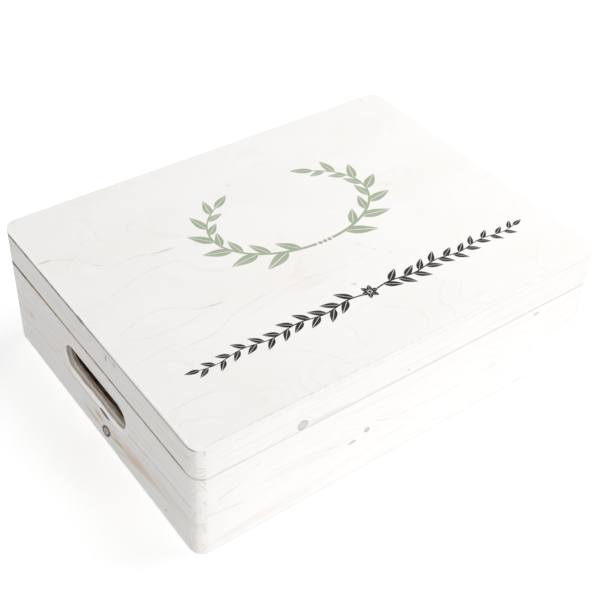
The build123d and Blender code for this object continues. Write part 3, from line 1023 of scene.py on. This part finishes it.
def draw_wreath(bm):
    """Two leafy branches that bend up from three berries, open at the top."""
    for side in (-1, 1):
        sprig(
            bm, arc_branch(side), leaf_length=30, leaf_width=11.5, pairs=6, stem=2.6, inner_side=side
        )
    foot = WREATH_CENTRE - Vector((0, WREATH_RADII[1]))
    for place in (-4.8, 0, 4.8):
        berry(bm, foot + Vector((place, 0)), 1.9)


def draw_divider(bm):
    """Two leafy branches that lead away from a six-petalled flower."""
    for end in DIVIDER_ENDS:
        sprig(bm, line_branch(end), leaf_length=17, leaf_width=6.6, pairs=10, stem=1.3)
    middle = Vector((sum(DIVIDER_ENDS) / 2, DIVIDER_Y))
    for petal in range(6):
        angle = petal * pi / 3
        outward = Vector((cos(angle), sin(angle)))
        leaf(bm, middle + 1.6 * outward, outward, length=6.5, width=4.2, lift=6 * LAYER)
    berry(bm, middle, 1.3)


printed("printed_leaf_wreath", print_ink("sage_green_ink", "#A3AE94", "#B0B9A3"), draw_wreath)
printed("printed_leaf_divider", print_ink("black_ink", "#1C1B1A", "#2C2A28"), draw_divider)


# ---- Floor, lights and camera ----

CAMERA_AZIMUTH = -38.63  # degrees from straight in front, negative to the left
CAMERA_ELEVATION = 41.25  # degrees above the floor
CAMERA_ROLL = 3.52  # degrees
CAMERA_DISTANCE = 0.943
CAMERA_TARGET = Vector((0, 0, 0.070))
CAMERA_DROP = 0.0157  # how far the camera sits below the line to its target
LENS = 65.43  # mm, on a 36 mm sensor
NEAREST, FARTHEST = 0.01, 50  # what the camera sees, in metres from it
FLOOR_SIZE = 6.0  # half its width
FLOOR_DROP = 0.0002  # keeps it from lying in one plane with the box's underside
FLOOR_GLOW = 0.20
BAND = (0.02, 0.14)  # sines of the angles between which the dome's bright horizon fades upwards
DOME_TOP = 0.12  # brightness of the dome above that, where the horizon's is 1


def place_in_scene(name, data, location=(0, 0, 0), turn=Quaternion()):
    """Puts a light, a camera or a mesh into the scene."""
    placed = bpy.data.objects.new(name, data)
    placed.location = location
    placed.rotation_mode = "QUATERNION"
    placed.rotation_quaternion = turn
    bpy.context.scene.collection.objects.link(placed)
    return placed


def make_floor():
    """A wide flat table top under the box."""
    bm = bmesh.new()
    bmesh.ops.create_grid(bm, x_segments=1, y_segments=1, size=FLOOR_SIZE)
    mesh = bpy.data.meshes.new("studio_floor")
    bm.to_mesh(mesh)
    bm.free()
    mesh.materials.append(lit_floor("white_acrylic_table", FLOOR_GLOW))
    place_in_scene("studio_floor", mesh, (0, 0, -FLOOR_DROP))


def soft_box(name, location, size, power):
    """A square studio light aimed at the middle of the box."""
    light = bpy.data.lights.new(name, "AREA")
    light.size = size
    light.energy = power
    aim = Vector((0, 0, TOP / 2 * MM)) - Vector(location)
    place_in_scene(name, light, location, aim.to_track_quat("-Z", "Y"))


def window_light(name, towards, strength, spread):
    """Broad even daylight from one side, as through a window that is spread degrees wide."""
    light = bpy.data.lights.new(name, "SUN")
    light.energy = strength
    light.angle = radians(spread)
    place_in_scene(name, light, turn=Vector(towards).to_track_quat("Z", "Y"))


def make_dome():
    """Faint white light from all round, with a bright band at the horizon."""
    world = bpy.data.worlds.new("studio")
    world.use_nodes = True
    world.node_tree.nodes.clear()
    add = partial(add_node, world.node_tree)
    upward = add("SeparateXYZ", add("TexCoord"), out=2)
    strength = add("MapRange", upward, *BAND, 1.0, DOME_TOP, **EASED)
    add("OutputWorld", add("Background", linear("#FFFFFF"), strength), out=None)
    bpy.context.scene.world = world


def make_camera():
    """The camera, looking down at the near left corner."""
    azimuth, elevation = radians(CAMERA_AZIMUTH), radians(CAMERA_ELEVATION)
    back = Vector((sin(azimuth) * cos(elevation), -cos(azimuth) * cos(elevation), sin(elevation)))
    turn = (-back).to_track_quat("-Z", "Y") @ Quaternion((0, 0, 1), radians(CAMERA_ROLL))
    camera = bpy.data.cameras.new("camera")
    camera.lens = LENS
    camera.clip_start, camera.clip_end = NEAREST, FARTHEST
    eye = CAMERA_TARGET + back * CAMERA_DISTANCE - turn @ Vector((0, CAMERA_DROP, 0))
    bpy.context.scene.camera = place_in_scene("camera", camera, eye, turn)


make_floor()
window_light("left_window", towards=(-0.45, -0.12, 0.88), strength=1.55, spread=50)
window_light("front_window", towards=(0.15, -0.95, 0.28), strength=0.82, spread=40)
soft_box("right_soft_box", location=(0.62, -0.10, 1.25), size=1.1, power=9.9)
make_dome()
bpy.context.scene.view_settings.view_transform = "Standard"
make_camera()
